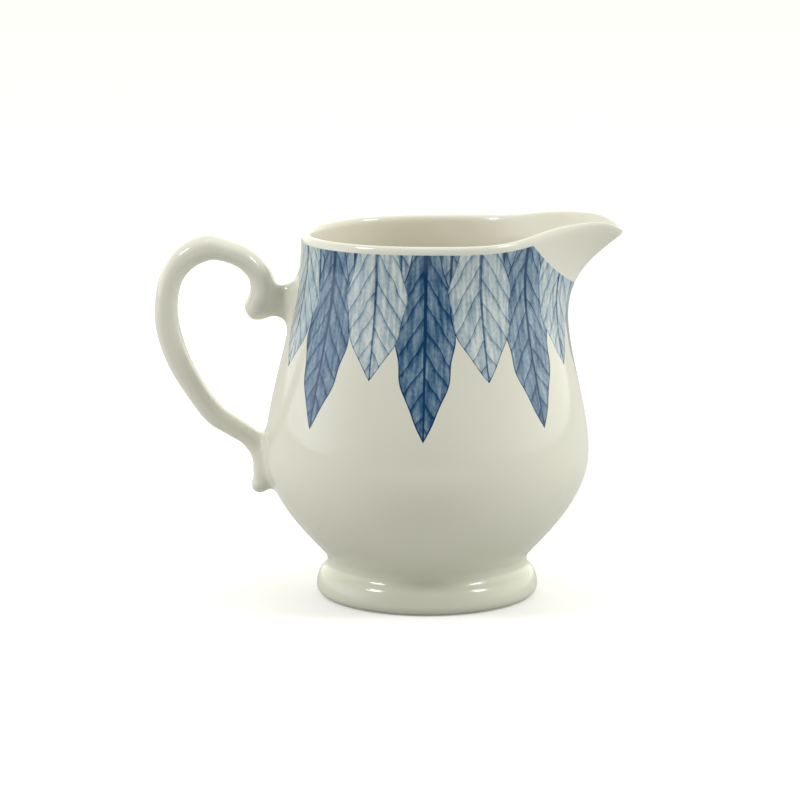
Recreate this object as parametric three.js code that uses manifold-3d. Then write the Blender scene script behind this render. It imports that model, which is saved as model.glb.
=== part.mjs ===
// A porcelain cream jug: a thrown bowl with a drawn-out pouring lip, a rolled foot ring and an
// ear-shaped strap handle with a curl under its upper end and a small spur at its lower end.
//
// Millimetres, +Z up. The shapes are worked out about the bowl's own axis, with the lip towards +X and
// the handle towards -X; the assembly then puts the middle of the bounding box over the origin.

import * as THREE from "three";
import { mergeVertices } from "three/addons/utils/BufferGeometryUtils.js";
import Module from "manifold-3d";

const wasm = await Module();
wasm.setup();

// ---------------------------------------------------------------- driving dimensions

const RIM_HEIGHT = 92; // crest of the plain rim above the table
const WALL = 2.4; // thickness of the thrown wall
const SEAM = 0.3; // gap left where two clay members are luted together

const WAIST = { r: 25.4, z: 7.2 }; // crease between the bowl and the foot ring
const FLARE = { r: 27.5, z: 12.2 }; // end of the small concave sweep above the waist
const BELLY = { r: 40.8, z: 36.5 }; // widest part of the bowl
const LIP_EDGE = { r: 31.45, z: RIM_HEIGHT - WALL / 2 }; // top of the outer wall, below the rounded rim
const FLOOR_HEIGHT = 10.2; // inside bottom of the bowl

// Lengths of the control handles that shape the wall's curves between those points.
const SWEEP = {
  waistRise: 1.9,
  flareBelow: { r: 1.5, z: 1.7 },
  flareAbove: { r: 5.4, z: 5.7 },
  bellyBelow: 10.1,
  bellyAbove: 13.8,
  edgeBelow: { r: 0.3, z: 17 },
  floorSide: { r: 3.4, z: 3.6 },
  floorShare: 0.55, // the floor flattens at this share of its radius
};

const FOOT = {
  height: WAIST.z - SEAM,
  shoulder: { r: 1.2, z: 0.9 }, // slope of the roll where it leaves the waist
  bulge: 28,
  bulgeTop: 4.4,
  bulgeBottom: 1.5,
  contactOuter: 26.4,
  contactInner: 22,
  bore: 20.4,
  boreBottom: 2,
};

// How far the wall is drawn out into the lip, and raised, at the rim.
const LIP = {
  reach: 15.1, // narrow pull that makes the beak
  spread: 18.2, // its half angle in degrees
  sharpness: 1.61,
  widening: 40, // depth at which the pull is twice as wide as at the rim
  ease: 3.1, // broad pull that makes the rim slightly long towards the lip
  easeSpread: 77.6,
  easeSharpness: 8,
  rise: 3.3, // lift of the lip's shoulders above the plain rim
  riseSpread: 42.6,
  riseSharpness: 3.2,
  droop: 3, // dip of the very tip below the shoulders
  droopSpread: 5,
  sag: 0.45, // dip of the rim towards the handle
  sagSpread: 62,
  fade: 10.2, // depth over which the pull dies away down the throat
  fadeSharpness: 1.15,
};

const SPOUT_SEAM = { halfWidth: 24, bottom: 67, shoulder: 12 }; // shield-shaped outline of the luted lip

const STRAP = { halfThick: 2.75, halfWide: 4.5 };
// Centre line of the strap in the symmetry plane, from the curl over the arch down to the spur.
const STRAP_LINE = [
  [-40.8, 75.5], [-41.1, 78.6], [-43.9, 83.4], [-49.6, 86.8], [-55.2, 87.8], [-60.2, 85.3],
  [-63.8, 80.4], [-65.3, 74.4], [-65.1, 67.2], [-62.3, 59.0], [-57.6, 51.2], [-53.2, 45.4],
  [-49.0, 42.4], [-44.9, 39.6], [-42.3, 35.4], [-41.7, 31.0], [-42.0, 27.8],
];
const STUB = { z: 73.7, halfTall: 3.6, halfWide: 3.9, from: -42.5, to: -31 }; // bridge to the wall
const CURL = { x: -42.5, z: 72.4, r: 2.9, halfWide: 4.1 };
const SPUR = { x: -42.2, z: 27.5, r: 2.1, halfWide: 3.4 };
const ROLL_END = { share: 0.6, waist: 0.4 }; // how far a roll's ends round over, and how small they get

const LUTE = 1.3; // height of the slip fillets above the wall
const UPPER_LUTE = { z: 73.7, halfTall: 5.4, halfWide: 5.8 };
const LOWER_LUTE = { z: 33, halfTall: 9.4, halfWide: 6.2 };

// ---------------------------------------------------------------- resolution

const AROUND = 64; // sides of the bowl
const LIP_CROWDING = 0.55; // how strongly those sides crowd towards the lip
const FOOT_AROUND = 56;
const CURVE_STEPS = { flare: 3, belly: 7, shoulder: 9, floor: 5, rim: 4, foot: 5, footEdge: 3 };
const STRAP_STEPS = 48;
const OVAL_STEPS = 10; // an oval section has twice as many sides
const ROLL_SIDES = 16;
const ROLL_STEPS = 4;

// ---------------------------------------------------------------- materials

const glaze = new THREE.MeshStandardMaterial({ color: 0xe9e7dc, roughness: 0.12, metalness: 0 });
const footGlaze = new THREE.MeshStandardMaterial({ color: 0xe6e3d7, roughness: 0.16, metalness: 0 });

// ---------------------------------------------------------------- solids and booleans

function solid(geometry) {
  const bare = geometry.clone();
  bare.deleteAttribute("normal");
  bare.deleteAttribute("uv");
  const merged = mergeVertices(bare, 1e-3);
  return new wasm.Manifold(
    new wasm.Mesh({
      numProp: 3,
      vertProperties: new Float32Array(merged.attributes.position.array),
      triVerts: new Uint32Array(merged.index.array),
    }),
  );
}

function named(name, made, material) {
  const mesh = made.getMesh();
  const geometry = new THREE.BufferGeometry()
    .setAttribute("position", new THREE.BufferAttribute(new Float32Array(mesh.vertProperties), 3))
    .setIndex(new THREE.BufferAttribute(new Uint32Array(mesh.triVerts), 1));
  geometry.computeVertexNormals();
  const piece = new THREE.Mesh(geometry, material);
  piece.name = name;
  return piece;
}

// Revolves a profile of (radius, height) points about the Z axis.
function revolve(profile, sides) {
  return new THREE.LatheGeometry(profile, sides).rotateX(Math.PI / 2);
}

// ---------------------------------------------------------------- the bowl's profile

function bezier(a, b, c, d, steps) {
  const curve = new THREE.CubicBezierCurve(
    new THREE.Vector2(...a), new THREE.Vector2(...b), new THREE.Vector2(...c), new THREE.Vector2(...d),
  );
  return curve.getPoints(steps);
}

// Outer wall from the waist to the top of the straight wall, as (radius, height) points.
function outerWall() {
  const { waistRise, flareBelow, flareAbove, bellyBelow, bellyAbove, edgeBelow } = SWEEP;
  const flare = bezier(
    [WAIST.r, WAIST.z], [WAIST.r, WAIST.z + waistRise],
    [FLARE.r - flareBelow.r, FLARE.z - flareBelow.z], [FLARE.r, FLARE.z], CURVE_STEPS.flare,
  );
  const belly = bezier(
    [FLARE.r, FLARE.z], [FLARE.r + flareAbove.r, FLARE.z + flareAbove.z],
    [BELLY.r, BELLY.z - bellyBelow], [BELLY.r, BELLY.z], CURVE_STEPS.belly,
  );
  const shoulder = bezier(
    [BELLY.r, BELLY.z], [BELLY.r, BELLY.z + bellyAbove],
    [LIP_EDGE.r - edgeBelow.r, LIP_EDGE.z - edgeBelow.z], [LIP_EDGE.r, LIP_EDGE.z], CURVE_STEPS.shoulder,
  );
  return [...flare, ...belly.slice(1), ...shoulder.slice(1)];
}

// Moves every point of a profile along its outward normal.
function offset(profile, distance) {
  return profile.map((p, i) => {
    const before = profile[Math.max(i - 1, 0)];
    const after = profile[Math.min(i + 1, profile.length - 1)];
    const along = after.clone().sub(before).normalize();
    return new THREE.Vector2(p.x + along.y * distance, p.y - along.x * distance);
  });
}

// Half circle over the rim, without its two ends.
function rimRound() {
  const round = [];
  for (let i = 1; i < CURVE_STEPS.rim; i++) {
    const angle = (Math.PI * i) / CURVE_STEPS.rim;
    const inward = (WALL / 2) * (1 - Math.cos(angle));
    round.push(new THREE.Vector2(LIP_EDGE.r - inward, LIP_EDGE.z + (WALL / 2) * Math.sin(angle)));
  }
  return round;
}

function bowlProfile() {
  const outer = outerWall();
  const inner = offset(outer, -WALL).filter((p, i) => outer[i].y > FLARE.z + 1);
  const sill = inner[0];
  const floor = bezier(
    [sill.x, sill.y], [sill.x - SWEEP.floorSide.r, sill.y - SWEEP.floorSide.z],
    [sill.x * SWEEP.floorShare, FLOOR_HEIGHT], [0, FLOOR_HEIGHT], CURVE_STEPS.floor,
  );
  return [
    new THREE.Vector2(0, WAIST.z), ...outer, ...rimRound(), ...inner.reverse(), ...floor.slice(1),
  ];
}

// ---------------------------------------------------------------- the drawn-out lip

const bell = (angle, spread, sharpness) => Math.exp(-((Math.abs(angle) / spread) ** sharpness));

// Outward pull of the wall at an angle from the lip in degrees and a depth below the rim.
function pullAt(angle, depth) {
  const beak = LIP.reach * bell(angle, LIP.spread * (1 + depth / LIP.widening), LIP.sharpness);
  return beak + LIP.ease * bell(angle, LIP.easeSpread, LIP.easeSharpness);
}

// Upward lift of the rim at an angle from the lip in degrees.
function liftAt(angle) {
  return LIP.rise * bell(angle, LIP.riseSpread, LIP.riseSharpness)
    - LIP.droop * bell(angle, LIP.droopSpread, 2)
    - LIP.sag * bell(180 - Math.abs(angle), LIP.sagSpread, 2);
}

// Draws the revolved wall out and up towards +X, most at the rim and less down the throat.
function drawLip(geometry) {
  const position = geometry.attributes.position;
  for (let i = 0; i < position.count; i++) {
    const [x, y, z] = [position.getX(i), position.getY(i), position.getZ(i)];
    const r = Math.hypot(x, y);
    const turn = Math.atan2(y, x);
    // The sides crowd towards the lip, where the shape changes fastest.
    const at = turn - LIP_CROWDING * Math.sin(turn);
    const angle = THREE.MathUtils.radToDeg(at);
    const depth = Math.max(RIM_HEIGHT - z, 0);
    const down = Math.exp(-((depth / LIP.fade) ** LIP.fadeSharpness));
    const drawn = r < WAIST.r ? r : r + pullAt(angle, depth) * down;
    position.setXYZ(i, drawn * Math.cos(at), drawn * Math.sin(at), z + liftAt(angle) * down);
  }
  return geometry;
}

// Shield-shaped prism along X that marks where the lip is luted into the bowl.
function spoutRegion(grow) {
  const half = SPOUT_SEAM.halfWidth + grow;
  const bottom = SPOUT_SEAM.bottom - grow;
  const top = RIM_HEIGHT + 10;
  const shield = new THREE.Shape();
  shield.moveTo(-half, top);
  shield.lineTo(half, top);
  shield.bezierCurveTo(half, bottom + SPOUT_SEAM.shoulder, half * 0.4, bottom, 0, bottom);
  shield.bezierCurveTo(-half * 0.4, bottom, -half, bottom + SPOUT_SEAM.shoulder, -half, top);
  const prism = new THREE.ExtrudeGeometry(shield, { depth: 60, bevelEnabled: false, curveSegments: 10 });
  // The shield's own x becomes Y, its y becomes Z and the extrusion runs along X.
  prism.applyMatrix4(new THREE.Matrix4().makeBasis(
    new THREE.Vector3(0, 1, 0), new THREE.Vector3(0, 0, 1), new THREE.Vector3(1, 0, 0),
  ));
  return solid(prism.translate(5, 0, 0));
}

// ---------------------------------------------------------------- the foot ring

function footProfile() {
  const roll = bezier(
    [WAIST.r, FOOT.height], [WAIST.r + FOOT.shoulder.r, FOOT.height - FOOT.shoulder.z],
    [FOOT.bulge, FOOT.bulgeTop], [FOOT.bulge, FOOT.bulgeBottom], CURVE_STEPS.foot,
  );
  const under = bezier(
    [FOOT.bulge, FOOT.bulgeBottom], [FOOT.bulge, 0.6],
    [FOOT.contactOuter + 0.8, 0], [FOOT.contactOuter, 0], CURVE_STEPS.footEdge,
  );
  const inside = bezier(
    [FOOT.contactInner, 0], [FOOT.contactInner - 1, 0],
    [FOOT.bore, 0.8], [FOOT.bore, FOOT.boreBottom], CURVE_STEPS.footEdge,
  );
  const ring = [...roll, ...under.slice(1), ...inside, new THREE.Vector2(FOOT.bore, FOOT.height)];
  ring.reverse();
  return [...ring, ring[0].clone()];
}

// ---------------------------------------------------------------- the handle

function oval(halfX, halfY) {
  const shape = new THREE.Shape();
  shape.absellipse(0, 0, halfX, halfY, 0, Math.PI * 2);
  return shape;
}

// Straight bar of oval section along X, between two X positions at a given height.
function barAlongX(halfWide, halfTall, from, to, z) {
  const bar = new THREE.ExtrudeGeometry(oval(halfWide, halfTall), {
    depth: to - from, bevelEnabled: false, curveSegments: OVAL_STEPS,
  });
  bar.applyMatrix4(new THREE.Matrix4().makeBasis(
    new THREE.Vector3(0, 1, 0), new THREE.Vector3(0, 0, 1), new THREE.Vector3(1, 0, 0),
  ));
  return solid(bar.translate(from, 0, z));
}

function strapSweep(grow) {
  const line = new THREE.CatmullRomCurve3(STRAP_LINE.map(([x, z]) => new THREE.Vector3(x, 0, z)));
  return solid(
    new THREE.ExtrudeGeometry(oval(STRAP.halfWide + grow, STRAP.halfThick + grow), {
      steps: STRAP_STEPS, curveSegments: OVAL_STEPS, extrudePath: line,
    }),
  );
}

// Rounded roll lying across the strap, for the curl and the spur.
function crossRoll({ x, z, r, halfWide }, grow) {
  const radius = r + grow;
  const half = halfWide + grow;
  const rounding = radius * ROLL_END.share;
  const profile = [new THREE.Vector2(0, -half)];
  for (let i = 0; i <= ROLL_STEPS; i++) {
    const angle = (Math.PI / 2) * (i / ROLL_STEPS);
    const swell = ROLL_END.waist + (1 - ROLL_END.waist) * Math.sin(angle);
    profile.push(new THREE.Vector2(radius * swell, rounding * (1 - Math.cos(angle)) - half));
  }
  const mirrored = profile.map((p) => new THREE.Vector2(p.x, -p.y)).reverse();
  return solid(new THREE.LatheGeometry([...profile, ...mirrored], ROLL_SIDES).translate(x, 0, z));
}

function handleBody(grow) {
  const { halfWide, halfTall, from, to, z } = STUB;
  return strapSweep(grow)
    .add(barAlongX(halfWide + grow, halfTall + grow, from, to, z))
    .add(crossRoll(CURL, grow))
    .add(crossRoll(SPUR, grow));
}

// Solid of revolution that fills the bowl, its wall moved out by a given distance.
function envelope(grow) {
  const wall = offset(outerWall(), grow);
  return solid(revolve(
    [new THREE.Vector2(0, WAIST.z - 2), new THREE.Vector2(WAIST.r, WAIST.z - 2), ...wall,
      new THREE.Vector2(0, LIP_EDGE.z + 2)],
    AROUND,
  ));
}

// Slip fillet: a low oval pad on the wall with the handle's end standing through it.
function luteRing({ z, halfTall, halfWide }) {
  return barAlongX(halfWide, halfTall, -50, -20, z)
    .intersect(envelope(SEAM + LUTE))
    .subtract(envelope(SEAM))
    .subtract(handleBody(SEAM));
}

// ---------------------------------------------------------------- assembly

const wholeBowl = solid(drawLip(revolve(bowlProfile(), AROUND)));

const pieces = new THREE.Group();
pieces.add(
  named("body", wholeBowl.subtract(spoutRegion(SEAM)), glaze),
  named("spout", wholeBowl.intersect(spoutRegion(0)), glaze),
  named("foot_ring", solid(revolve(footProfile(), FOOT_AROUND)), footGlaze),
  named("handle", handleBody(0).subtract(envelope(SEAM)), glaze),
  named("upper_handle_joint", luteRing(UPPER_LUTE), glaze),
  named("lower_handle_joint", luteRing(LOWER_LUTE), glaze),
);

// The middle of the bounding box goes over the origin.
const extent = new THREE.Box3().setFromObject(pieces);
pieces.position.x = -(extent.min.x + extent.max.x) / 2;

const jug = new THREE.Group();
jug.add(pieces);

export default jug;
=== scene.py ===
"""Porcelain cream jug: the fine surfaces, the glaze and the under-glaze leaf print.

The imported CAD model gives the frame. Shapes are worked out in millimetres about the bowl's own axis,
with the lip towards +X and the handle towards -X, and moved on to that axis in the frame when a mesh
is made.
"""

import math
from collections import namedtuple

import bpy
import numpy as np
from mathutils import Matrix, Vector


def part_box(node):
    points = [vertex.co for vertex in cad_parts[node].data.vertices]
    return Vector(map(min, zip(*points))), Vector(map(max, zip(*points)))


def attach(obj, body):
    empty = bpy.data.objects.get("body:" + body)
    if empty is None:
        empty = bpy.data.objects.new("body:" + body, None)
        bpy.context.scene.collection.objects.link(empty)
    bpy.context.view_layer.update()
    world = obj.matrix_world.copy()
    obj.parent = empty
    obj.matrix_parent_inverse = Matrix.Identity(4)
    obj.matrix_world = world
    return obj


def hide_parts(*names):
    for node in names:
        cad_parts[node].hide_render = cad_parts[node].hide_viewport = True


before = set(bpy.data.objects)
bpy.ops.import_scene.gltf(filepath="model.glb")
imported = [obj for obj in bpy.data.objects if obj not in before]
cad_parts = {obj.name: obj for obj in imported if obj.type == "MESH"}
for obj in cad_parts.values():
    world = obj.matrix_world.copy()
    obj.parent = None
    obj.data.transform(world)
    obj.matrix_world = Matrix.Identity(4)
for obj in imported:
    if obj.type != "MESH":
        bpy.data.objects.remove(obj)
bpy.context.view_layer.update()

MM = 0.001  # metres in a millimetre


def box_mm(node):
    low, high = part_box(node)
    return np.array(low) / MM, np.array(high) / MM


body_high = box_mm("body")[1]
spout_high = box_mm("spout")[1]
foot_low, foot_high = box_mm("foot_ring")

AXIS_X = (foot_low[0] + foot_high[0]) / 2  # where the bowl's axis stands in the frame

# ---------------------------------------------------------------- sizes in millimetres

RIM_HEIGHT = 92.0  # crest of the plain rim
WALL = 2.4  # thickness of the bowl's wall
RIM_CREST_IN = 1.3  # the crest lies this far inside the outer wall
SEAM = 0.3  # luting gap between the CAD members
WAIST_RAISED = 0.9  # the glazed waist lies this far above the CAD members' seam
WAIST = (25.3, foot_high[2] + SEAM + WAIST_RAISED)  # (radius, height) of the waist between bowl and foot
FLARE = (27.5, 12.2)  # end of the small concave sweep above the waist
BELLY = (body_high[1], 36.5)  # widest part
NECK = (31.45, RIM_HEIGHT - 2.4)  # top of the outer wall, where the rim starts to round over
FLOOR_HEIGHT = 10.2  # inside bottom of the bowl
FLOOR_FLAT = 0.55  # the floor flattens at this share of its radius
LIP_CROWDING = 0.55  # how strongly the bowl's columns crowd towards the lip

# Lengths of the control handles that shape the wall's curves between those points.
WAIST_RISE = 1.9
FLARE_BELOW, FLARE_ABOVE = (1.5, 1.7), (5.4, 5.7)
BELLY_BELOW, BELLY_ABOVE = 10.1, 13.8
NECK_BELOW = (0.1, 17.0)

FOOT_BULGE = (foot_high[0] - foot_low[0]) / 2
FOOT_CONTACT = (22.0, 26.4)  # inner and outer radius of the flat that stands on the table
FOOT_BORE = 20.4

# The lip is the wall drawn out towards +X: a narrow pull for the beak over a broad, shallow one.
LIP_SPREAD, LIP_POWER = 18.2, 1.61
EASE, EASE_SPREAD, EASE_POWER = 3.1, 77.6, 8.0
LIP_RISE, RISE_SPREAD, RISE_POWER = 3.3, 42.6, 3.2
LIP_DROOP, DROOP_SPREAD = 3.0, 6.5
RIM_SAG, SAG_SPREAD = 0.45, 62.0  # dip of the rim towards the handle
LIP_FADE, FADE_POWER = 10.2, 1.28

# ---------------------------------------------------------------- profiles


def bezier(a, b, c, d, steps):
    t = np.linspace(0.0, 1.0, steps + 1)[:, None]
    a, b, c, d = (np.array(p, float) for p in (a, b, c, d))
    return (1 - t) ** 3 * a + 3 * (1 - t) ** 2 * t * b + 3 * (1 - t) * t**2 * c + t**3 * d


def chain(*runs):
    """Joins runs of points that share their end points."""
    return np.vstack([runs[0]] + [run[1:] for run in runs[1:]])


def outer_wall():
    """(radius, height) points of the outer wall from the waist to the start of the rim."""
    into_flare = (FLARE[0] - FLARE_BELOW[0], FLARE[1] - FLARE_BELOW[1])
    out_of_flare = (FLARE[0] + FLARE_ABOVE[0], FLARE[1] + FLARE_ABOVE[1])
    into_neck = (NECK[0] - NECK_BELOW[0], NECK[1] - NECK_BELOW[1])
    flare = bezier(WAIST, (WAIST[0], WAIST[1] + WAIST_RISE), into_flare, FLARE, 16)
    belly = bezier(FLARE, out_of_flare, (BELLY[0], BELLY[1] - BELLY_BELOW), BELLY, 48)
    shoulder = bezier(BELLY, (BELLY[0], BELLY[1] + BELLY_ABOVE), into_neck, NECK, 80)
    return chain(flare, belly, shoulder)


def rim_round():
    """Over the rim, from the outer wall to the inner wall."""
    crest = (NECK[0] - RIM_CREST_IN, RIM_HEIGHT)
    inside = (NECK[0] - WALL, RIM_HEIGHT - 1.9)
    over = bezier(NECK, (NECK[0], NECK[1] + 1.5), (crest[0] + 0.8, RIM_HEIGHT), crest, 12)
    into = bezier(crest, (crest[0] - 0.7, RIM_HEIGHT), (inside[0], inside[1] + 1.1), inside, 10)
    return chain(over, into)


def moved_along_normal(profile, distance):
    along = np.gradient(profile, axis=0)
    along /= np.linalg.norm(along, axis=1)[:, None]
    return profile + np.column_stack([along[:, 1], -along[:, 0]]) * distance


OUTER = outer_wall()
RIM = rim_round()


def inner_wall():
    """From under the rim down to the middle of the floor."""
    wall = moved_along_normal(OUTER, -WALL)[OUTER[:, 1] > FLARE[1] + 1.0][::-1]
    wall = wall[wall[:, 1] < RIM[-1, 1]]
    sill = wall[-1]
    flat_from = (sill[0] * FLOOR_FLAT, FLOOR_HEIGHT)
    floor = bezier(sill, sill + (-3.4, -3.6), flat_from, (0.0, FLOOR_HEIGHT), 40)
    return np.vstack([RIM[-1], wall[::2], floor[1:]])


def bowl_profile():
    """Half section from the underside's middle over the rim to the floor's middle, each of its points'
    depth below the rim along the wall (negative inside), and the number of the waist's row."""
    under = np.column_stack([np.linspace(0.0, WAIST[0], 14), np.full(14, WAIST[1])])
    profile = chain(under, OUTER, RIM, inner_wall())
    steps = np.linalg.norm(np.diff(profile, axis=0), axis=1)
    travelled = np.concatenate([[0.0], np.cumsum(steps)])
    crest_row = int(np.argmax(profile[:, 1]))
    return profile, travelled[crest_row] - travelled, len(under) - 1


def foot_profile():
    """Closed loop: fillet under the waist, outer roll, contact flat, bore and the fillet inside."""
    top = WAIST[1] - 0.02
    slope = (WAIST[0] + 1.3, top - 2.1)
    fillet = bezier((WAIST[0], top), (WAIST[0], top - 0.9), (slope[0] - 0.75, slope[1] + 0.65), slope, 12)
    roll = bezier(slope, (slope[0] + 0.9, slope[1] - 0.8), (FOOT_BULGE, 3.4), (FOOT_BULGE, 1.9), 18)
    under = bezier(roll[-1], (FOOT_BULGE, 0.8), (FOOT_CONTACT[1] + 0.9, 0.0), (FOOT_CONTACT[1], 0.0), 12)
    flat = bezier(under[-1], (25.0, 0.0), (23.5, 0.0), (FOOT_CONTACT[0], 0.0), 6)
    inside = bezier(flat[-1], (FOOT_CONTACT[0] - 0.9, 0.0), (FOOT_BORE, 0.7), (FOOT_BORE, 2.0), 10)
    bore = bezier(inside[-1], (FOOT_BORE, 4.4), (FOOT_BORE - 0.2, top), (17.6, top), 16)
    back = bezier(bore[-1], (19.0, top), (22.0, top), (WAIST[0], top), 8)
    return chain(fillet, roll, under, flat, inside, bore, back)[:-1]


# ---------------------------------------------------------------- the drawn-out lip


def bell(angle, spread, power):
    return np.exp(-((np.abs(angle) / spread) ** power))


def fade(height):
    """Share of the rim's pull that reaches down to a height."""
    return np.exp(-((np.maximum(RIM_HEIGHT - height, 0.0) / LIP_FADE) ** FADE_POWER))


# The pull is as long as it takes for the rim to touch the CAD lip's front.
lip_front = spout_high[0] - AXIS_X
LIP_REACH = np.min((lip_front - RIM[:, 0]) / fade(RIM[:, 1])) - EASE


def draw_lip(radius, height, angle):
    """Pulls points of the bowl out and up towards the lip; angle is in degrees from +X."""
    widened = LIP_SPREAD * (1 + np.maximum(RIM_HEIGHT - height, 0.0) / 40.0)
    pull = LIP_REACH * bell(angle, widened, LIP_POWER) + EASE * bell(angle, EASE_SPREAD, EASE_POWER)
    lift = LIP_RISE * bell(angle, RISE_SPREAD, RISE_POWER) - LIP_DROOP * bell(angle, DROOP_SPREAD, 2.0)
    lift = lift - RIM_SAG * bell(180.0 - np.abs(angle), SAG_SPREAD, 2.0)
    drawn = np.where(radius < WAIST[0], radius, radius + pull * fade(height))
    return drawn, height + lift * fade(height)


# ---------------------------------------------------------------- meshes


def make_object(name, vertices, faces):
    """A smooth-shaded mesh object from millimetre vertices, riding on the CAD's one body."""
    mesh = bpy.data.meshes.new(name)
    placed = (np.asarray(vertices) + (AXIS_X, 0.0, 0.0)) * MM
    mesh.from_pydata(placed.tolist(), [], faces)
    mesh.validate()
    mesh.shade_smooth()
    made = bpy.data.objects.new(name, mesh)
    bpy.context.scene.collection.objects.link(made)
    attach(made, "root")
    return made


def ring_faces(rows, columns, wrap_rows):
    """Quads between rings of points; each ring closes on itself."""
    faces = []
    for i in range(rows if wrap_rows else rows - 1):
        low, high = i * columns, ((i + 1) % rows) * columns
        for j in range(columns):
            k = (j + 1) % columns
            faces.append((low + j, low + k, high + k, high + j))
    return faces


def build_bowl(columns=352):
    profile, depth, waist_row = bowl_profile()
    turn = np.linspace(-math.pi, math.pi, columns, endpoint=False)
    # Columns crowd towards the lip, where the shape changes fastest.
    angle = np.degrees(turn - LIP_CROWDING * np.sin(turn))
    rings = profile[1:-1]
    radius, height = draw_lip(rings[:, :1], rings[:, 1:], angle[None, :])
    at = np.radians(angle)[None, :]
    heights = np.broadcast_to(height, radius.shape)
    points = np.stack([radius * np.cos(at), radius * np.sin(at), heights], -1)
    vertices = np.vstack([points.reshape(-1, 3), [[0, 0, profile[0, 1]]], [[0, 0, profile[-1, 1]]]])
    rows = len(rings)
    bottom, top = rows * columns, rows * columns + 1
    faces = ring_faces(rows, columns, wrap_rows=False)
    for j in range(columns):
        k = (j + 1) % columns
        faces.append((bottom, k, j))
        faces.append((top, (rows - 1) * columns + j, (rows - 1) * columns + k))
    bowl = make_object("jug_body", vertices, faces)
    write_print_map(bowl, angle, depth[1:-1], columns)
    mark_sharp_ring(bowl, (waist_row - 1) * columns, columns)
    return bowl


def write_print_map(bowl, angle, depth, columns):
    """UV map in plain units: degrees round the jug from its front (-Y) side, and mm down from the rim."""
    layer = bowl.data.uv_layers.new(name="PrintMap")
    corners = np.empty(len(bowl.data.loops), np.int32)
    bowl.data.loops.foreach_get("vertex_index", corners)
    row, column = np.divmod(corners, columns)
    row = np.minimum(row, len(depth) - 1)
    around = angle[column] + 90.0
    starts = np.empty(len(bowl.data.polygons), np.int32)
    bowl.data.polygons.foreach_get("loop_start", starts)
    totals = np.empty(len(bowl.data.polygons), np.int32)
    bowl.data.polygons.foreach_get("loop_total", totals)
    # The quads that close the ring carry the far end's angle at the first column.
    face_of_corner = np.repeat(np.arange(len(starts)), totals)
    widest = np.maximum.reduceat(column, starts)[face_of_corner]
    around = np.where((column == 0) & (widest == columns - 1), around + 360.0, around)
    layer.data.foreach_set("uv", np.column_stack([around, depth[row]]).astype(np.float32).ravel())


def mark_sharp_ring(obj, first, count):
    """Keeps the hidden turn under the waist from bending the shading of the visible wall."""
    ring = set(range(first, first + count))
    sharp = [edge.vertices[0] in ring and edge.vertices[1] in ring for edge in obj.data.edges]
    attribute = obj.data.attributes.new("sharp_edge", "BOOLEAN", "EDGE")
    attribute.data.foreach_set("value", sharp)


def build_foot(columns=288):
    profile = foot_profile()
    at = np.linspace(-math.pi, math.pi, columns, endpoint=False)[None, :]
    radius, height = profile[:, :1], profile[:, 1:]
    heights = np.broadcast_to(height, (len(profile), columns))
    points = np.stack([radius * np.cos(at), radius * np.sin(at), heights], -1)
    faces = [face[::-1] for face in ring_faces(len(profile), columns, wrap_rows=True)]
    foot = make_object("foot_roll", points.reshape(-1, 3), faces)
    mark_sharp_ring(foot, 0, columns)
    return foot


# ---------------------------------------------------------------- the handle

# Centre line of the strap in the XZ plane from the curl over the arch to the spur:
# x, z, half thickness in the plane, half width across it.
STRAP = np.array([
    (-42.3, 72.8, 2.9, 4.4), (-41.0, 77.0, 2.95, 4.4), (-42.0, 81.2, 2.8, 4.4), (-45.5, 85.0, 2.8, 4.6),
    (-50.6, 87.1, 2.85, 4.8), (-55.3, 87.6, 3.3, 4.9), (-60.4, 85.0, 3.2, 4.8), (-63.8, 80.2, 2.85, 4.6),
    (-65.2, 74.0, 2.8, 4.5), (-64.9, 67.2, 2.95, 4.4), (-62.3, 59.0, 2.85, 4.3), (-57.9, 51.2, 2.6, 4.2),
    (-53.5, 45.4, 2.6, 4.1), (-49.0, 42.3, 2.4, 4.0), (-44.9, 39.5, 2.25, 3.9), (-42.2, 35.2, 2.1, 3.8),
    (-41.7, 31.0, 2.2, 3.6), (-42.1, 27.7, 1.9, 3.3),
])
CURL = (-42.6, 72.8, 2.85, 4.5)  # x, z, radius, half width of the rolled end under the arch
SPUR = (-42.4, 27.2, 1.85, 3.1)
STUB = (-43.0, -30.0, 74.2, 3.8, 1.6)  # bridge to the neck: from x, to x, z, half height, half width
LIMB_BLEND = 2.2  # rounding between the strap, the curl and the bridge
# Flare of the handle's ends on to the bowl: tight at the lower end, wide at the bridge.
LOW_FLARE, HIGH_FLARE = 4.2, 5.2
FLARE_CHANGE = (48.0, 62.0)  # heights between which one gives way to the other
ROOT_DEPTH = 1.0  # how far the handle's ends sit inside the wall
ROOT_UNDERCUT = 0.35  # the root stays this far under the edge of the flare
ROLL_BLEND = 1.0  # rounding between the strap and the rolls of the curl and the spur
VOXEL = 0.4
SMOOTHING_ROUNDS, PROJECTIONS = 4, 2  # each round evens the mesh out, then returns it to the surface
HANDLE_SPACE = ((-71.0, -11.2, 16.0), (-27.0, 11.3, 94.0))  # corners of the grid round the handle


def spline(points, per_span=40):
    """Catmull-Rom curve through every point."""
    padded = np.vstack([2 * points[0] - points[1], points, 2 * points[-1] - points[-2]])
    runs = []
    for p0, p1, p2, p3 in zip(padded, padded[1:], padded[2:], padded[3:]):
        t = np.linspace(0.0, 1.0, per_span, endpoint=False)[:, None]
        runs.append(0.5 * (2 * p1 + (p2 - p0) * t + (2 * p0 - 5 * p1 + 4 * p2 - p3) * t**2
                           + (3 * p1 - p0 - 3 * p2 + p3) * t**3))
    return np.vstack(runs + [points[-1:]])


def smooth_min(a, b, width):
    """Union of two distance fields, rounded where they come within width of each other."""
    return np.minimum(a, b) - np.maximum(width - np.abs(a - b), 0.0) ** 2 / (4.0 * width)


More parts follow.
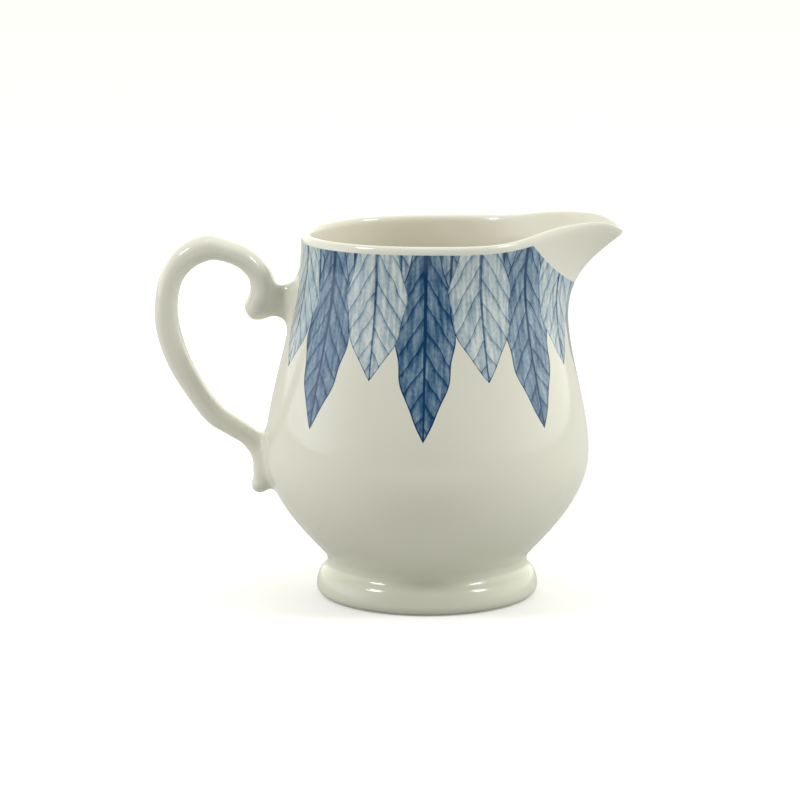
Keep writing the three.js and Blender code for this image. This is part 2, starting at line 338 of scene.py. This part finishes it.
def oval_distance(across, side, half_across, half_side, power=2.3):
    """Signed distance, near enough, to an oval section."""
    a, b = np.abs(across) / half_across + 1e-6, np.abs(side) / half_side + 1e-6
    reach = (a**power + b**power) ** (1.0 / power)
    a, b = (a / reach) ** (power - 1.0) / half_across, (b / reach) ** (power - 1.0) / half_side
    return (reach - 1.0) / np.hypot(a, b)


def strap_distance(x, y, z):
    line = spline(STRAP)
    plane_x, plane_z = x[:, 0, :], z[:, 0, :]
    gap = np.full(plane_x.shape, np.inf)
    thick = np.zeros_like(gap)
    wide = np.zeros_like(gap)
    for cx, cz, half_thick, half_wide in line:
        here = np.hypot(plane_x - cx, plane_z - cz)
        nearer = here < gap
        gap = np.where(nearer, here, gap)
        thick = np.where(nearer, half_thick, thick)
        wide = np.where(nearer, half_wide, wide)
    return oval_distance(gap[:, None, :], y, thick[:, None, :], wide[:, None, :])


def wall_distance(x, y, z):
    """Signed distance to the bowl's outer wall on the handle's side."""
    slope = np.gradient(OUTER[:, 0]) / np.gradient(OUTER[:, 1])
    radius = np.interp(z, OUTER[:, 1], OUTER[:, 0])
    tilt = 1.0 / np.sqrt(1.0 + np.interp(z, OUTER[:, 1], slope) ** 2)
    return (np.hypot(x, y) - radius) * tilt


def handle_fields(x, y, z):
    """Fields of the handle, the bowl's wall and the one flowing into the other, and the flare's size."""
    def lobe(cx, cz, radius, half_wide):
        return oval_distance(np.hypot(x - cx, z - cz), y, radius, half_wide)

    start, end, stub_z, half_tall, half_wide = STUB
    bridge = oval_distance(z - stub_z, y, half_tall, half_wide)
    bridge = np.maximum(bridge, np.maximum(start - x, x - end))
    handle = smooth_min(strap_distance(x, y, z), lobe(*CURL), ROLL_BLEND)
    handle = smooth_min(handle, lobe(*SPUR), ROLL_BLEND)
    handle = smooth_min(handle, bridge, LIMB_BLEND)
    wall = wall_distance(x, y, z)
    flare = np.interp(z, FLARE_CHANGE, (LOW_FLARE, HIGH_FLARE))
    return handle, wall, smooth_min(handle, wall, flare), flare


def surface_net(field, origin, step):
    """Closed quad mesh of the zero level of a field sampled on a regular grid."""
    inside = field < 0.0
    corners = [(i, j, k) for i in (0, 1) for j in (0, 1) for k in (0, 1)]
    shape = tuple(n - 1 for n in field.shape)

    def shifted(data, i, j, k):
        return data[i:i + shape[0], j:j + shape[1], k:k + shape[2]]

    count = sum(shifted(inside, *c).astype(int) for c in corners)
    mixed = (count > 0) & (count < 8)
    cells = np.argwhere(mixed)
    number = np.full(shape, -1)
    number[mixed] = np.arange(len(cells))
    total = np.zeros((len(cells), 3))
    hits = np.zeros(len(cells))
    for a in corners:
        for axis in range(3):
            if a[axis]:
                continue
            b = tuple(a[n] + (n == axis) for n in range(3))
            fa, fb = shifted(field, *a)[mixed], shifted(field, *b)[mixed]
            cross = (fa < 0) != (fb < 0)
            t = np.where(cross, fa / np.where(cross, fa - fb, 1.0), 0.0)
            at = np.array(a, float) + t[:, None] * (np.arange(3) == axis)
            total += at * cross[:, None]
            hits += cross
    vertices = origin + (cells + total / hits[:, None]) * step
    faces = []
    for axis in range(3):
        u, v = (axis + 1) % 3, (axis + 2) % 3
        ahead = [slice(None)] * 3
        ahead[axis] = slice(1, None)
        behind = [slice(None)] * 3
        behind[axis] = slice(None, -1)
        change = inside[tuple(behind)] != inside[tuple(ahead)]
        for edge in np.argwhere(change):
            if edge[u] == 0 or edge[v] == 0:
                continue
            quad = []
            for du, dv in ((1, 1), (0, 1), (0, 0), (1, 0)):
                cell = edge.copy()
                cell[u] -= du
                cell[v] -= dv
                quad.append(int(number[tuple(cell)]))
            faces.append(tuple(quad if inside[tuple(edge)] else quad[::-1]))
    return vertices, faces


def sample(field, points, origin, step):
    """Trilinear value of a grid field at points."""
    at = np.clip((points - origin) / step, 0, np.array(field.shape) - 1.001)
    low = at.astype(int)
    t = at - low
    value = 0.0
    for i, j, k in ((i, j, k) for i in (0, 1) for j in (0, 1) for k in (0, 1)):
        weight = (np.where(i, t[:, 0], 1 - t[:, 0]) * np.where(j, t[:, 1], 1 - t[:, 1])
                  * np.where(k, t[:, 2], 1 - t[:, 2]))
        value = value + weight * field[low[:, 0] + i, low[:, 1] + j, low[:, 2] + k]
    return value


def slope_at(field, points, origin, step):
    reach = 0.75 * step
    return np.stack([
        sample(field, points + reach * np.eye(3)[a], origin, step)
        - sample(field, points - reach * np.eye(3)[a], origin, step) for a in range(3)
    ], -1) / (2 * reach)


def build_handle():
    low, high = np.array(HANDLE_SPACE)
    axes = [np.arange(a, b, VOXEL) for a, b in zip(low, high)]
    x, y, z = np.meshgrid(*axes, indexing="ij")
    handle, wall, flowing, flare = handle_fields(x, y, z)
    # The root stops a little inside the wall, and under the edge of the flare.
    root = np.maximum(-(wall + ROOT_DEPTH), handle - (flare - ROOT_UNDERCUT))
    solid = np.maximum(flowing, root)
    vertices, faces = surface_net(solid, low, VOXEL)
    links = np.array([(f[i], f[(i + 1) % 4]) for f in faces for i in range(4)])
    for _ in range(SMOOTHING_ROUNDS):
        pull = np.zeros_like(vertices)
        degree = np.zeros(len(vertices))
        np.add.at(pull, links[:, 0], vertices[links[:, 1]])
        np.add.at(degree, links[:, 0], 1)
        vertices = 0.5 * vertices + 0.5 * pull / degree[:, None]
        for _ in range(PROJECTIONS):
            gradient = slope_at(solid, vertices, low, VOXEL)
            length2 = np.maximum((gradient**2).sum(1), 0.05)
            vertices = vertices - gradient * (sample(solid, vertices, low, VOXEL) / length2)[:, None]
    made = make_object("handle_strap", vertices, faces)
    normals = slope_at(flowing, vertices, low, VOXEL)
    normals /= np.linalg.norm(normals, axis=1)[:, None]
    made.data.normals_split_custom_set_from_vertices(normals.tolist())
    return made


# ---------------------------------------------------------------- node helpers


class Nodes:
    """Short calls that add nodes to a tree and link them; each returns the new node's output."""

    def __init__(self, tree):
        self.tree = tree

    def new(self, kind, **settings):
        node = self.tree.nodes.new(kind)
        for key, value in settings.items():
            setattr(node, key, value)
        return node

    def feed(self, socket, value):
        if isinstance(value, bpy.types.NodeSocket):
            self.tree.links.new(value, socket)
        else:
            socket.default_value = value

    def math(self, operation, *values, clamp=False):
        node = self.new("ShaderNodeMath", operation=operation, use_clamp=clamp)
        for socket, value in zip(node.inputs, values):
            self.feed(socket, value)
        return node.outputs[0]

    def vector(self, operation, first, second=None):
        node = self.new("ShaderNodeVectorMath", operation=operation)
        self.feed(node.inputs[0], first)
        if second is not None:
            self.feed(node.inputs["Scale" if operation == "SCALE" else 1], second)
        return node.outputs["Value" if operation in ("LENGTH", "DOT_PRODUCT") else "Vector"]

    def combine(self, x=0.0, y=0.0, z=0.0):
        node = self.new("ShaderNodeCombineXYZ")
        for socket, value in zip(node.inputs, (x, y, z)):
            self.feed(socket, value)
        return node.outputs[0]

    def separate(self, vector):
        node = self.new("ShaderNodeSeparateXYZ")
        self.feed(node.inputs[0], vector)
        return node.outputs

    def choose(self, factor, a, b, kind="VECTOR"):
        node = self.new("ShaderNodeMix", data_type=kind)
        sockets = {"VECTOR": (0, 4, 5, 1), "RGBA": (0, 6, 7, 2), "FLOAT": (0, 2, 3, 0)}[kind]
        for index, value in zip(sockets, (factor, a, b)):
            self.feed(node.inputs[index], value)
        return node.outputs[sockets[3]]

    def noise(self, vector, scale, detail=2.0, roughness=0.5):
        node = self.new("ShaderNodeTexNoise")
        self.feed(node.inputs["Vector"], vector)
        for key, value in (("Scale", scale), ("Detail", detail), ("Roughness", roughness)):
            node.inputs[key].default_value = value
        return node.outputs["Fac"]

    def smooth(self, value, low, high, out_low=0.0, out_high=1.0):
        node = self.new("ShaderNodeMapRange", interpolation_type="SMOOTHSTEP")
        for socket, given in zip(node.inputs, (value, low, high, out_low, out_high)):
            self.feed(socket, given)
        return node.outputs[0]

    def spread(self, value, width):
        """Moves a 0 to 1 value to run across width with its middle at 0."""
        return self.math("MULTIPLY", self.math("SUBTRACT", value, 0.5), width)

    def ramp(self, factor, stops):
        node = self.new("ShaderNodeValToRGB")
        elements = node.color_ramp.elements
        while len(elements) < len(stops):
            elements.new(1.0)
        for element, (position, colour) in zip(elements, stops):
            element.position = position
            element.color = (*colour, 1.0)
        self.feed(node.inputs[0], factor)
        return node.outputs[0]


def linear(*srgb):
    """Linear colour from 0-255 display values."""
    return tuple((c / 255 / 12.92) if c <= 10 else ((c / 255 + 0.055) / 1.055) ** 2.4 for c in srgb)


# ---------------------------------------------------------------- the leaf print

# A plain border of leaves hanging from a straight cut under the rim: rings of equal leaves at an even
# pitch, back ring first. shift turns a ring by that share of its pitch. length is from the rim to the
# tip and width is half the leaf's width, in mm. tone is the ink of a leaf's ground, 0 to 1.
LeafRing = namedtuple("LeafRing", "count shift length width tone")
LEAF_RINGS = (
    LeafRing(count=16, shift=0.0, length=22.0, width=4.6, tone=0.46),
    LeafRing(count=8, shift=0.5, length=46.0, width=7.4, tone=0.62),
    LeafRing(count=8, shift=0.0, length=34.0, width=8.6, tone=0.28),
)
STEM_ABOVE = 10.0  # stems start this far above the rim, so that the cut crosses broad leaves, mm
SWAY = 3.0  # spread of the tips to the sides, mm
STRETCH = 0.10  # spread of the lengths, as a share
SHADES = 0.16  # spread of the tones
LEAF_FULL = 1.15  # over 1 puts a leaf's widest part nearer its tip
RIPPLE = (0.55, 0.05)  # ripple of a leaf's edge: radians in a mm, and share of its width
MM_PER_DEGREE = 0.62  # at the jug's middle radius
RIM_MARGIN = 2.4  # bare band under the rim, mm
HANDLE_GAP = 15.0  # no leaf's middle is nearer to the handle, degrees
THROAT = (13.8, 46.0)  # depth, mm, and half angle, degrees, of the bare wedge under the lip
PALEST = 0.10  # least ink inside a leaf
VEIN_SPACING = 6.0  # mm
VEIN_SLANT = 1.5  # how far a side vein runs towards the tip for each mm it runs outwards
RIB_HALF = (0.18, 0.42)  # half width of the midrib at the tip, and what it gains by the stem, mm
VEIN_HALF = 0.22  # mm
SEED_STEP = (7.3, 31.7)  # sets each leaf's and each ring's noise apart
WANDER_SCALE, WANDER = 0.22, 2.0  # how often a drawn line wavers, per mm, and how far, mm
STREAK_SCALE = (0.13, 0.95)  # brush streaks along and across a leaf, per mm
STREAKS, GRAIN, GRAIN_SCALE = 0.95, 0.35, 1.1
LINE_INK, SIDE_VEIN_SHARE, BESIDE_INK = 0.5, 0.6, 0.20
OUTLINE = (0.10, 0.45, 0.42)  # full to this distance from the edge, gone by this one, mm; ink

PORCELAIN = linear(223, 222, 210)
INK = [
    (0.00, PORCELAIN),
    (0.10, linear(212, 217, 213)),
    (0.25, linear(184, 198, 204)),
    (0.42, linear(150, 170, 184)),
    (0.58, linear(118, 143, 164)),
    (0.74, linear(81, 112, 142)),
    (0.88, linear(48, 86, 121)),
    (1.00, linear(22, 59, 98)),
]


def leaf_shape_group():
    """Node group: is a point inside a leaf, and where is it measured along and across the midrib."""
    group = bpy.data.node_groups.new("LeafShape", "ShaderNodeTree")
    for name, kind in (("Point", "Vector"), ("Tip", "Vector"), ("Width", "Float"), ("Seed", "Float")):
        group.interface.new_socket(name, in_out="INPUT", socket_type="NodeSocket" + kind)
    for name, kind in (("Inside", "Float"), ("Local", "Vector"), ("Share", "Float")):
        group.interface.new_socket(name, in_out="OUTPUT", socket_type="NodeSocket" + kind)
    n = Nodes(group)
    source = n.new("NodeGroupInput").outputs
    stem = (0.0, -STEM_ABOVE, 0.0)
    axis = n.vector("SUBTRACT", source["Tip"], stem)
    direction = n.vector("NORMALIZE", axis)
    from_stem = n.vector("SUBTRACT", source["Point"], stem)
    along = n.vector("DOT_PRODUCT", from_stem, direction)
    across = n.separate(n.vector("CROSS_PRODUCT", from_stem, direction))[2]
    share = n.math("DIVIDE", along, n.vector("LENGTH", axis), clamp=True)
    outline = n.math("SINE", n.math("MULTIPLY", n.math("POWER", share, LEAF_FULL), math.pi))
    wave = n.math("SINE", n.math("MULTIPLY_ADD", along, RIPPLE[0], source["Seed"]))
    half = n.math("MULTIPLY", n.math("MULTIPLY", outline, source["Width"]),
                  n.math("MULTIPLY_ADD", wave, RIPPLE[1], 1.0))
    edge = n.math("SUBTRACT", half, n.math("ABSOLUTE", across))
    sink = n.new("NodeGroupOutput").inputs
    n.feed(sink["Inside"], n.math("GREATER_THAN", edge, 0.0))
    n.feed(sink["Local"], n.combine(along, across, edge))
    n.feed(sink["Share"], share)
    return group


def lay_leaves(n, lap, down):
    """Stacks the rings of leaves; returns cover, (along, across, edge) and (tone, share, seed) on top.

    lap runs from 0 at the handle, by 0.5 at the lip, to 1 at the handle again.
    """
    group = leaf_shape_group()
    local, traits, covered = (0.0, 0.0, 0.0), (0.0, 0.0, 0.0), 0.0
    for number, ring in enumerate(LEAF_RINGS):
        turn = n.math("MULTIPLY_ADD", lap, ring.count, ring.shift)
        leaf = n.math("FLOOR", turn)
        aside = n.spread(n.math("FRACT", turn), 360.0 / ring.count * MM_PER_DEGREE)
        seed = n.math("MULTIPLY_ADD", leaf, SEED_STEP[0], SEED_STEP[1] * number)
        chance = n.new("ShaderNodeTexWhiteNoise", noise_dimensions="1D")
        n.feed(chance.inputs["W"], seed)
        sway, stretch, shade = n.separate(chance.outputs["Color"])
        length = n.math("ADD", n.spread(stretch, STRETCH * ring.length), ring.length)
        shape = n.new("ShaderNodeGroup", node_tree=group)
        tip = n.combine(n.spread(sway, SWAY), length)
        for key, value in (("Point", n.combine(aside, down)), ("Tip", tip), ("Width", ring.width),
                           ("Seed", seed)):
            n.feed(shape.inputs[key], value)
        middle = n.math("DIVIDE", n.math("ADD", leaf, 0.5 - ring.shift), ring.count)
        from_handle = n.math("MINIMUM", middle, n.math("SUBTRACT", 1.0, middle))
        clear = n.math("GREATER_THAN", from_handle, HANDLE_GAP / 360.0)
        inside = n.math("MULTIPLY", shape.outputs["Inside"], clear)
        tone = n.math("ADD", n.spread(shade, SHADES), ring.tone)
        local = n.choose(inside, local, shape.outputs["Local"])
        traits = n.choose(inside, traits, n.combine(tone, shape.outputs["Share"], seed))
        covered = n.math("MAXIMUM", covered, inside)
    return covered, n.separate(local), n.separate(traits)


def leaf_lines(n, along, across, share, wander):
    """Ink of a leaf's midrib and side veins, and of the shading beside each vein."""
    out = n.math("ABSOLUTE", across)
    side = n.math("GREATER_THAN", across, 0.0)
    sweep = n.math("MULTIPLY_ADD", out, -VEIN_SLANT, along)
    sweep = n.math("MULTIPLY_ADD", side, 0.5 * VEIN_SPACING, sweep)
    sweep = n.math("MULTIPLY_ADD", wander, WANDER, sweep)
    rib_half = n.math("MULTIPLY_ADD", n.math("SUBTRACT", 1.0, share), RIB_HALF[1], RIB_HALF[0])
    rib = n.smooth(n.math("DIVIDE", out, rib_half), 0.5, 1.4, 1.0, 0.0)
    past_vein = n.spread(n.math("FRACT", n.math("DIVIDE", sweep, VEIN_SPACING)), VEIN_SPACING)
    vein = n.smooth(n.math("ABSOLUTE", past_vein), 0.4 * VEIN_HALF, 1.6 * VEIN_HALF, 1.0, 0.0)
    beside = n.math("MULTIPLY", n.smooth(past_vein, 0.0, 0.35 * VEIN_SPACING, 1.0, 0.0),
                    n.math("GREATER_THAN", past_vein, 0.0))
    lines = n.math("MAXIMUM", rib, n.math("MULTIPLY", vein, SIDE_VEIN_SHARE))
    return n.math("MULTIPLY_ADD", beside, BESIDE_INK, n.math("MULTIPLY", lines, LINE_INK))


def print_ink(n):
    """Ink density of the leaf print at the shaded point, 0 on bare porcelain to 1 in the deepest blue."""
    around, down, _ = n.separate(n.new("ShaderNodeUVMap", uv_map="PrintMap").outputs[0])
    lap = n.math("DIVIDE", n.math("ADD", around, 90.0), 360.0)
    covered, (along, across, edge), (tone, share, seed) = lay_leaves(n, lap, down)

    # A slow wander of the drawing coordinates gives hand-drawn lines; hatching and grain uneven ink.
    drawn = n.combine(along, across, seed)
    wander = n.spread(n.noise(drawn, WANDER_SCALE, 0.0), 1.0)
    streak_place = n.combine(n.math("MULTIPLY", along, STREAK_SCALE[0]),
                             n.math("MULTIPLY", across, STREAK_SCALE[1]), seed)
    density = n.math("ADD", tone, n.spread(n.noise(streak_place, 1.0, 3.0), STREAKS))
    density = n.math("ADD", density, n.spread(n.noise(drawn, GRAIN_SCALE, 2.0), GRAIN))
    density = n.math("ADD", density, leaf_lines(n, along, across, share, wander))
    density = n.math("ADD", density, n.smooth(edge, OUTLINE[0], OUTLINE[1], OUTLINE[2], 0.0))

    throat = n.math("DIVIDE", n.math("SUBTRACT", around, 90.0), THROAT[1])
    throat = n.math("MULTIPLY_ADD", n.math("MULTIPLY", throat, throat), -THROAT[0], THROAT[0])
    start = n.math("MAXIMUM", throat, RIM_MARGIN)
    printed = n.math("MULTIPLY", n.smooth(n.math("SUBTRACT", down, start), 0.0, 0.25), covered)
    return n.math("MULTIPLY", n.math("MAXIMUM", n.math("MINIMUM", density, 1.0), PALEST), printed)


# ---------------------------------------------------------------- glazes

# Painted light: the glaze inside the bowl is whiter than outside, which lifts the shade in its hollow.
INSIDE_GLAZE_PAINTED_LIGHT = linear(232, 229, 215)  # a little whiter inside the bowl
BISCUIT = linear(226, 219, 203)  # unglazed clay
BARE_BELOW, BARE_EDGE = 0.0002, 0.00015  # height of the wiped flat under the foot and its soft edge, m
CLOUD_SCALE, CLOUD_TINT = 38.0, 0.25  # slow changes in the glaze's colour, per metre
POOL_AND_SHADE = (0.004, 0.034, 0.35)  # darker greener band low on the jug, pooled glaze together with painted shade and a painted reflection of the table: from and to this height, metres; its share
# Colour that the glaze's clouds and the painted shade low on the jug tend towards.
CLOUD_POOL_AND_SHADE_TINT = (0.90, 0.925, 0.85, 1.0)
GLOSS, GLOSS_SPREAD, GLOSS_SCALE = 0.075, 0.05, 260.0
BARE_ROUGHER, BARE_DULLER = 0.55, -0.3  # what the unglazed flat adds to roughness and specular
GLAZE_IOR = 1.52
RIPPLE_STRENGTH, RIPPLE_HEIGHT, RIPPLE_SCALE = 0.05, 0.0006, 150.0  # faint waves of the fired glaze


def glaze_material(name, with_print=False):
    """Clear gloss over ivory porcelain, with or without the print under it."""
    material = bpy.data.materials.new(name)
    material.use_nodes = True
    tree = material.node_tree
    tree.nodes.clear()
    n = Nodes(tree)
    place = n.new("ShaderNodeTexCoord").outputs["Object"]
    shade = n.new("ShaderNodeBsdfPrincipled")
    if with_print:
        paint = n.ramp(print_ink(n), INK)
        down = n.separate(n.new("ShaderNodeUVMap", uv_map="PrintMap").outputs[0])[1]
        # Inside the bowl the whiter glaze is painted light that lifts the hollow's shade.
        inside = n.smooth(down, -1.0, 0.0, 1.0, 0.0)
        paint = n.choose(inside, paint, (*INSIDE_GLAZE_PAINTED_LIGHT, 1.0), "RGBA")
    else:
        paint = (*PORCELAIN, 1.0)
    # The flat the foot stands on is wiped clean of glaze.
    place_height = n.separate(place)[2]
    bare = n.smooth(place_height, BARE_BELOW, BARE_BELOW + BARE_EDGE, 1.0, 0.0)
    paint = n.choose(bare, paint, (*BISCUIT, 1.0), "RGBA")
    # Slow clouds of colour in the glaze; low on the jug it turns darker and greener, partly thick pooled
    # glaze and partly painted shade and a painted reflection of the table.
    cloud = n.noise(place, CLOUD_SCALE, 2.0)
    low = n.smooth(place_height, POOL_AND_SHADE[0], POOL_AND_SHADE[1], 1.0, 0.0)
    cloud_pool_and_shade = n.math("MULTIPLY_ADD", cloud, CLOUD_TINT, n.math("MULTIPLY", low, POOL_AND_SHADE[2]), clamp=True)
    cloud_pool_and_shade_colour = n.choose(cloud_pool_and_shade, (1.0, 1.0, 1.0, 1.0), CLOUD_POOL_AND_SHADE_TINT, "RGBA")
    mixed = n.new("ShaderNodeMix", data_type="RGBA", blend_type="MULTIPLY")
    mixed.inputs[0].default_value = 1.0
    n.feed(mixed.inputs[6], paint)
    n.feed(mixed.inputs[7], cloud_pool_and_shade_colour)
    n.feed(shade.inputs["Base Color"], mixed.outputs[2])
    gloss = n.math("MULTIPLY_ADD", n.noise(place, GLOSS_SCALE, 2.0), GLOSS_SPREAD, GLOSS)
    n.feed(shade.inputs["Roughness"], n.math("MULTIPLY_ADD", bare, BARE_ROUGHER, gloss))
    n.feed(shade.inputs["Specular IOR Level"], n.math("MULTIPLY_ADD", bare, BARE_DULLER, 0.5))
    shade.inputs["IOR"].default_value = GLAZE_IOR
    bump = n.new("ShaderNodeBump")
    bump.inputs["Strength"].default_value = RIPPLE_STRENGTH
    bump.inputs["Distance"].default_value = RIPPLE_HEIGHT
    n.feed(bump.inputs["Height"], n.noise(place, RIPPLE_SCALE, 2.0))
    n.feed(shade.inputs["Normal"], bump.outputs[0])
    n.feed(n.new("ShaderNodeOutputMaterial").inputs["Surface"], shade.outputs[0])
    return material


# ---------------------------------------------------------------- build the jug

bowl = build_bowl()
foot = build_foot()
handle = build_handle()

for piece, slot, nodes in (
    (bowl, "glazed_porcelain", ("body", "spout")),
    (foot, "foot_porcelain", ("foot_ring",)),
    (handle, "handle_porcelain", ("handle", "upper_handle_joint", "lower_handle_joint")),
):
    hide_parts(*nodes)

bowl.data.materials.append(glaze_material("printed_glaze", with_print=True))
foot.data.materials.append(glaze_material("foot_glaze"))
handle.data.materials.append(glaze_material("handle_glaze"))

# ---------------------------------------------------------------- studio

CAMERA_BACK, CAMERA_UP = 0.789, 0.1974  # metres from the jug's axis, and above the table
CAMERA_TILT = math.radians(10.66)
LENS, SENSOR = 143.5, 36.0
CAMERA_SHIFT = -0.0338  # the jug stands a little right of the middle

# The light tent's parts: axis, side of it, how tightly the light gathers about it, and the light's colour.
# The last one is a narrow light straight overhead, which reaches into the bowl.
TENT = (
    (0, -1.0, 2.0, (1.03, 0.97, 0.88)),
    (0, -1.0, 10.0, (0.90, 1.05, 1.28)),
    (0, 1.0, 2.0, (1.52, 1.52, 1.45)),
    (1, 1.0, 2.0, (1.70, 1.73, 1.53)),
    (2, 1.0, 2.0, (0.42, 0.42, 0.38)),
    (2, 1.0, 12.0, (1.30, 1.30, 1.25)),
)
TABLE_BOUNCE = (0.54, 0.54, 0.53, 1.0)
TABLE_SEEN = (0.90, 0.90, 0.90, 1.0)
TABLE_GLOW, TABLE_SEEN_GLOW = 0.05, 0.16
LAMP_WATTS, LAMP_SIZE, LAMP_DISTANCE = 2.7, 0.22, 1.0
LAMP_AZIMUTH, LAMP_ELEVATION = 69, 42  # degrees; one lamp stands on each side
AIM_HEIGHT = 0.05  # metres
FLOOR_HALF, FLOOR_DROP = 3.0, 0.0002  # metres; the drop keeps floor and foot from sharing a plane


def add_camera():
    data = bpy.data.cameras.new("camera")
    data.lens, data.sensor_width, data.shift_x = LENS, SENSOR, CAMERA_SHIFT
    data.clip_start = 0.05
    camera = bpy.data.objects.new("camera", data)
    camera.location = (AXIS_X * MM, -CAMERA_BACK, CAMERA_UP)
    camera.rotation_euler = (math.pi / 2 - CAMERA_TILT, 0.0, 0.0)
    bpy.context.scene.collection.objects.link(camera)
    bpy.context.scene.camera = camera


def add_lamp(name, azimuth):
    """Softbox aimed at the jug's middle; azimuth 0 is the camera's side, + towards the lip."""
    data = bpy.data.lights.new(name, "AREA")
    data.shape, data.size, data.size_y, data.energy = "RECTANGLE", LAMP_SIZE, LAMP_SIZE, LAMP_WATTS
    lamp = bpy.data.objects.new(name, data)
    a, e = math.radians(azimuth), math.radians(LAMP_ELEVATION)
    aim = np.array([AXIS_X * MM, 0.0, AIM_HEIGHT])
    towards = np.array([math.sin(a) * math.cos(e), -math.cos(a) * math.cos(e), math.sin(e)])
    offset = LAMP_DISTANCE * towards
    lamp.location = aim + offset
    lamp.rotation_euler = (math.pi / 2 - e, 0.0, a)
    bpy.context.scene.collection.objects.link(lamp)


def add_floor():
    """White table that glows a little, as a lit tent's does; the camera sees it plainer than the jug does."""
    corners = [(x * FLOOR_HALF, y * FLOOR_HALF, 0) for x, y in ((-1, -1), (1, -1), (1, 1), (-1, 1))]
    mesh = bpy.data.meshes.new("floor")
    mesh.from_pydata(corners, [], [(0, 1, 2, 3)])
    floor = bpy.data.objects.new("floor", mesh)
    floor.location.z = -FLOOR_DROP
    bpy.context.scene.collection.objects.link(floor)
    material = bpy.data.materials.new("floor_paper")
    material.use_nodes = True
    material.node_tree.nodes.clear()
    n = Nodes(material.node_tree)
    seen = n.new("ShaderNodeLightPath").outputs["Is Camera Ray"]
    diffuse = n.new("ShaderNodeBsdfDiffuse")
    n.feed(diffuse.inputs["Color"], n.choose(seen, TABLE_BOUNCE, TABLE_SEEN, "RGBA"))
    glow = n.new("ShaderNodeEmission")
    n.feed(glow.inputs["Strength"], n.choose(seen, TABLE_GLOW, TABLE_SEEN_GLOW, "FLOAT"))
    both = n.new("ShaderNodeAddShader")
    n.feed(both.inputs[0], diffuse.outputs[0])
    n.feed(both.inputs[1], glow.outputs[0])
    n.feed(n.new("ShaderNodeOutputMaterial").inputs["Surface"], both.outputs[0])
    mesh.materials.append(material)


def add_world():
    """Light tent, lit at both ends of the jug, behind it and above; plain white where the camera sees it."""
    world = bpy.data.worlds.new("studio")
    bpy.context.scene.world = world
    world.use_nodes = True
    world.node_tree.nodes.clear()
    n = Nodes(world.node_tree)
    towards = n.separate(n.new("ShaderNodeTexCoord").outputs["Generated"])
    light = (0.0, 0.0, 0.0)
    for axis, sign, gathering, colour in TENT:
        facing = n.math("MAXIMUM", n.math("MULTIPLY", towards[axis], sign), 0.0)
        strength = n.math("POWER", facing, gathering)
        light = n.vector("ADD", light, n.vector("SCALE", colour, strength))
    seen = n.new("ShaderNodeLightPath").outputs["Is Camera Ray"]
    background = n.new("ShaderNodeBackground")
    n.feed(background.inputs["Color"], n.choose(seen, light, (1.0, 1.0, 1.0)))
    n.feed(n.new("ShaderNodeOutputWorld").inputs["Surface"], background.outputs[0])


add_camera()
add_floor()
add_world()
add_lamp("left_box", -LAMP_AZIMUTH)
add_lamp("right_box", LAMP_AZIMUTH)
bpy.context.scene.view_settings.view_transform = "Standard"
